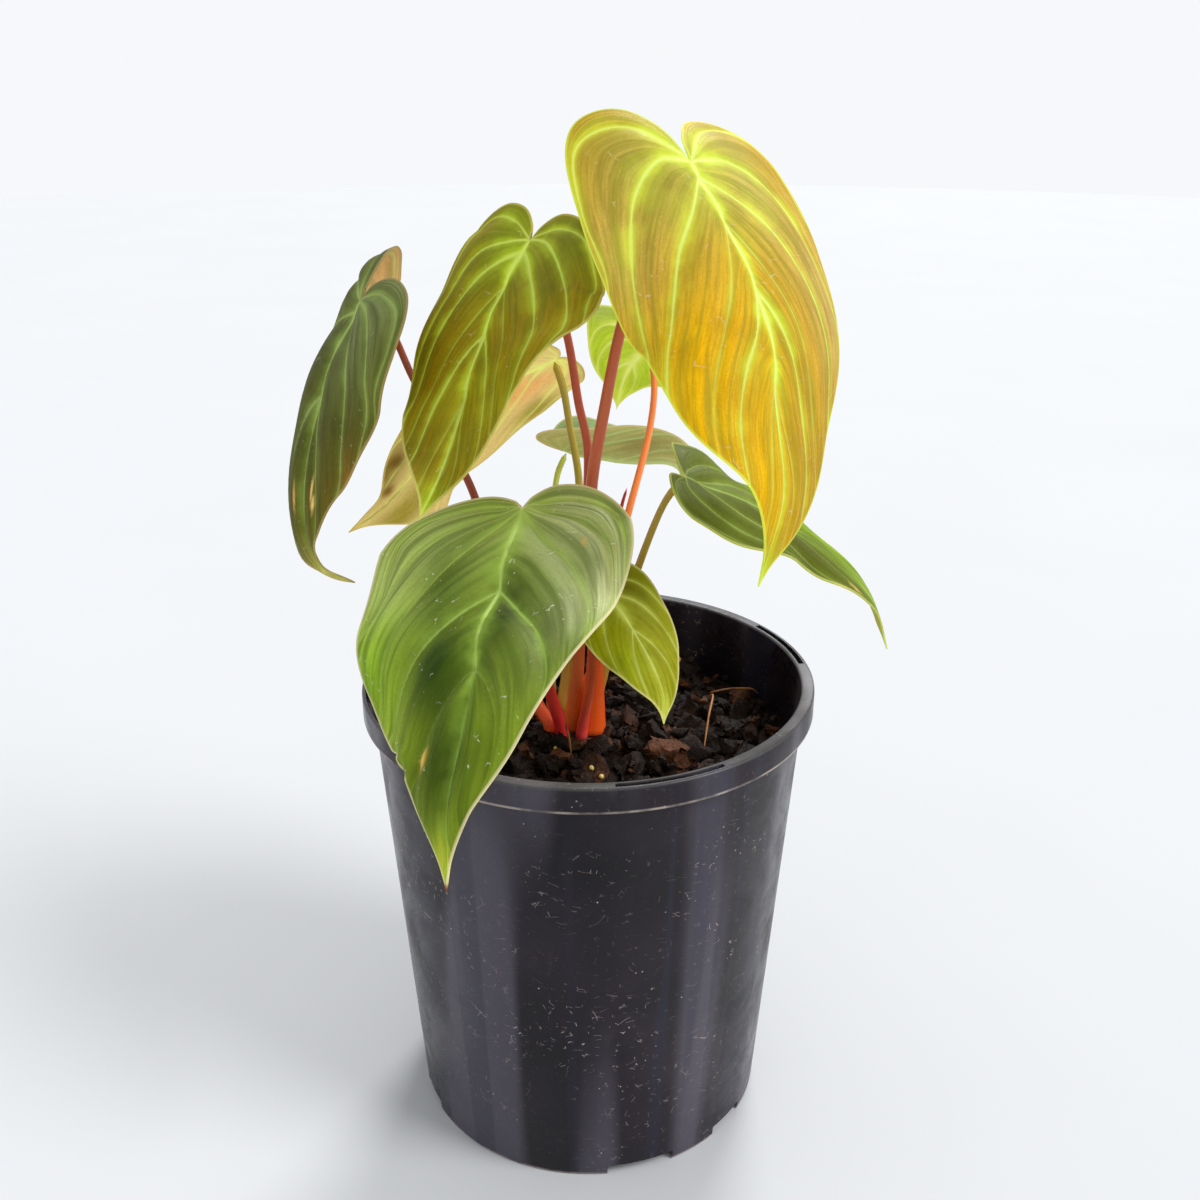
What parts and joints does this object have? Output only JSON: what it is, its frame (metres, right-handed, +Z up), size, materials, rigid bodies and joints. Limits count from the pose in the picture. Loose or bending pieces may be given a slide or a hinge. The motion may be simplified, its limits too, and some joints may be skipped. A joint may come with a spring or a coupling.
{
  "type": "potted philodendron",
  "caption": "Potted velvet-leaved philodendron: heart-shaped drooping leaves on slim red stalks from one crown, in bark mix in a round black plastic nursery pot.",
  "frame": {"origin": "middle of the flat underside of the pot", "axes": "+Z up; the plant's front, with its lowest large leaf hanging over the rim, faces -Y; +X is to the right seen from the front"},
  "size_m": [0.1891, 0.1866, 0.3145],
  "materials": {
    "pot_plastic": "worn satin black plastic, scratched and dusty",
    "bark_mix": "damp dark bark chips",
    "crown": "fibrous plant crown",
    "new_shoot": "smooth red sheath",
    "stalk": "smooth ribbed stalk, red to olive",
    "top_leaf_blade": "velvety leaf with pale raised veins",
    "upper_left_leaf_blade": "velvety leaf with pale raised veins",
    "far_left_leaf_blade": "velvety leaf with pale raised veins",
    "front_leaf_blade": "velvety leaf with pale raised veins",
    "small_leaf_blade": "velvety leaf with pale raised veins",
    "rear_right_leaf_blade": "velvety leaf with pale raised veins",
    "right_leaf_blade": "velvety leaf with pale raised veins",
    "rear_left_leaf_blade": "velvety leaf with pale raised veins",
    "rear_small_leaf_blade": "velvety leaf with pale raised veins"
  },
  "bodies": {
    "root": {"pot": "pot_plastic", "potting_mix": "bark_mix", "crown": "crown", "new_shoot": "new_shoot", "top_leaf_blade": "top_leaf_blade", "top_leaf_stalk": "stalk", "upper_left_leaf_blade": "upper_left_leaf_blade", "upper_left_leaf_stalk": "stalk", "far_left_leaf_blade": "far_left_leaf_blade", "far_left_leaf_stalk": "stalk", "front_leaf_blade": "front_leaf_blade", "front_leaf_stalk": "stalk", "small_leaf_blade": "small_leaf_blade", "small_leaf_stalk": "stalk", "rear_right_leaf_blade": "rear_right_leaf_blade", "rear_right_leaf_stalk": "stalk", "right_leaf_blade": "right_leaf_blade", "right_leaf_stalk": "stalk", "rear_left_leaf_blade": "rear_left_leaf_blade", "rear_left_leaf_stalk": "stalk", "rear_small_leaf_blade": "rear_small_leaf_blade", "rear_small_leaf_stalk": "stalk"}
  },
  "joints": []
}
